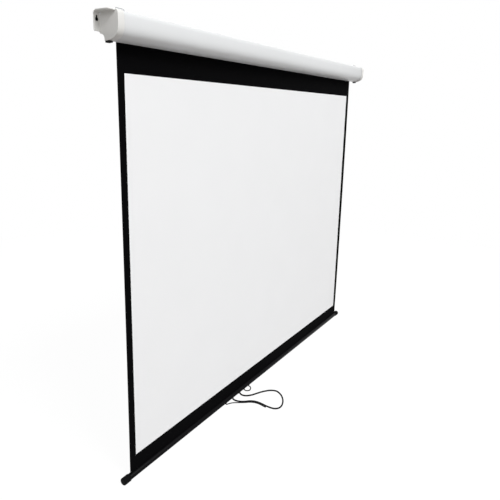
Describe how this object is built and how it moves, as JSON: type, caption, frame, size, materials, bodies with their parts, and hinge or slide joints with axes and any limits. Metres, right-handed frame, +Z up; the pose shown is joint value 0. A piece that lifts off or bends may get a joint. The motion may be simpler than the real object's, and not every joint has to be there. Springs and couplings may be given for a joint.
{
  "type": "pull down projector screen",
  "caption": "Wall-hung projector screen: white 4:3 cloth with black border, wound on a spring roller in a round-fronted white case, with a round black bottom bar and a pull cord.",
  "frame": {"origin": "on the wall plane, half way along the case, level with the centres of the keyholes' round holes", "axes": "+X to the right for someone facing the screen, +Y into the wall, +Z up"},
  "size_m": [1.6366, 0.2, 1.3095],
  "materials": {
    "white_enamel": "satin white enamel",
    "light_plastic": "fine matt off-white ABS",
    "black_rubber": "matt black rubber and foam",
    "galvanised_steel": "dull zinc",
    "bright_steel": "bright drawn steel",
    "white_pvc": "matt white coated cloth",
    "black_pvc": "matt black coated cloth",
    "black_enamel": "satin black enamel",
    "black_plastic": "satin black moulded plastic",
    "nylon": "natural nylon",
    "dark_plastic": "dark grey moulded plastic",
    "black_cord": "braided black cord"
  },
  "bodies": {
    "housing": {"case": "white_enamel", "left_end_cap": "light_plastic", "left_cap_screw": "bright_steel", "left_wall_pad": "black_rubber", "left_bumper": "black_rubber", "left_loop_clip": "galvanised_steel", "left_bearing_plate": "galvanised_steel", "left_back_screw": "bright_steel", "left_front_screw": "bright_steel", "right_end_cap": "light_plastic", "right_cap_screw": "bright_steel", "right_wall_pad": "black_rubber", "right_bumper": "black_rubber", "right_loop_clip": "galvanised_steel", "right_bearing_plate": "galvanised_steel", "right_back_screw": "bright_steel", "right_front_screw": "bright_steel", "spring_rod": "bright_steel", "ratchet_wheel": "bright_steel", "spring_anchor": "dark_plastic", "torsion_spring": "bright_steel", "idle_bush": "nylon", "viewing_area": "white_pvc", "black_border": "black_pvc"},
    "roller": {"roller_tube": "galvanised_steel", "cloth_roll": "black_pvc", "drive_plug": "dark_plastic", "idle_plug": "dark_plastic", "idle_pin": "bright_steel", "centre_bearing": "nylon", "upper_pawl_pin": "bright_steel", "lower_pawl_pin": "bright_steel"},
    "upper_pawl": {"upper_pawl": "bright_steel"},
    "lower_pawl": {"lower_pawl": "bright_steel"},
    "bar": {"bottom_bar": "black_enamel", "batten": "galvanised_steel", "cloth_hem": "black_pvc", "left_bar_cap": "black_plastic", "right_bar_cap": "black_plastic", "cord_eyelet_1": "black_plastic", "cord_eyelet_2": "black_plastic", "cord_eyelet_3": "black_plastic", "cord_eyelet_4": "black_plastic", "cord_eyelet_5": "black_plastic"},
    "cords": {"pull_cord": "black_cord", "side_cord": "black_cord", "short_cord": "black_cord", "cord_knot": "black_cord"},
    "left_loop": {"left_hanging_loop": "bright_steel"},
    "right_loop": {"right_hanging_loop": "bright_steel"}
  },
  "joints": [
    {"name": "screen_slide", "type": "slide", "parent": "housing", "child": "bar", "axis": [0, 0, 1], "range_m": [0, 1.207], "deforming": ["viewing_area", "black_border"]},
    {"name": "roller_spin", "type": "hinge", "parent": "housing", "child": "roller", "pos_m": [0, -0.0323, -0.0115], "axis": [1, 0, 0], "range_deg": [0, 3240]},
    {"name": "upper_pawl_swing", "type": "hinge", "parent": "roller", "child": "upper_pawl", "pos_m": [-0.7804, -0.0323, 0.003], "axis": [1, 0, 0], "range_deg": [-30, 0]},
    {"name": "lower_pawl_swing", "type": "hinge", "parent": "roller", "child": "lower_pawl", "pos_m": [-0.7804, -0.0323, -0.026], "axis": [1, 0, 0], "range_deg": [-30, 0]},
    {"name": "cord_swing", "type": "hinge", "parent": "bar", "child": "cords", "pos_m": [-0.2, -0.01788, -1.27682], "axis": [1, 0, 0], "range_deg": [0, 80]},
    {"name": "left_loop_swing", "type": "hinge", "parent": "housing", "child": "left_loop", "pos_m": [-0.76, -0.03, 0.0206], "axis": [1, 0, 0], "range_deg": [-85, 85]},
    {"name": "right_loop_swing", "type": "hinge", "parent": "housing", "child": "right_loop", "pos_m": [0.76, -0.03, 0.0206], "axis": [1, 0, 0], "range_deg": [-85, 85]}
  ],
  "couplings": [
    {"joint": "roller_spin", "follows": "screen_slide", "rad_per_m": 46.851},
    {"joint": "cord_swing", "follows": "screen_slide", "rad_per_m": 1.1568}
  ]
}
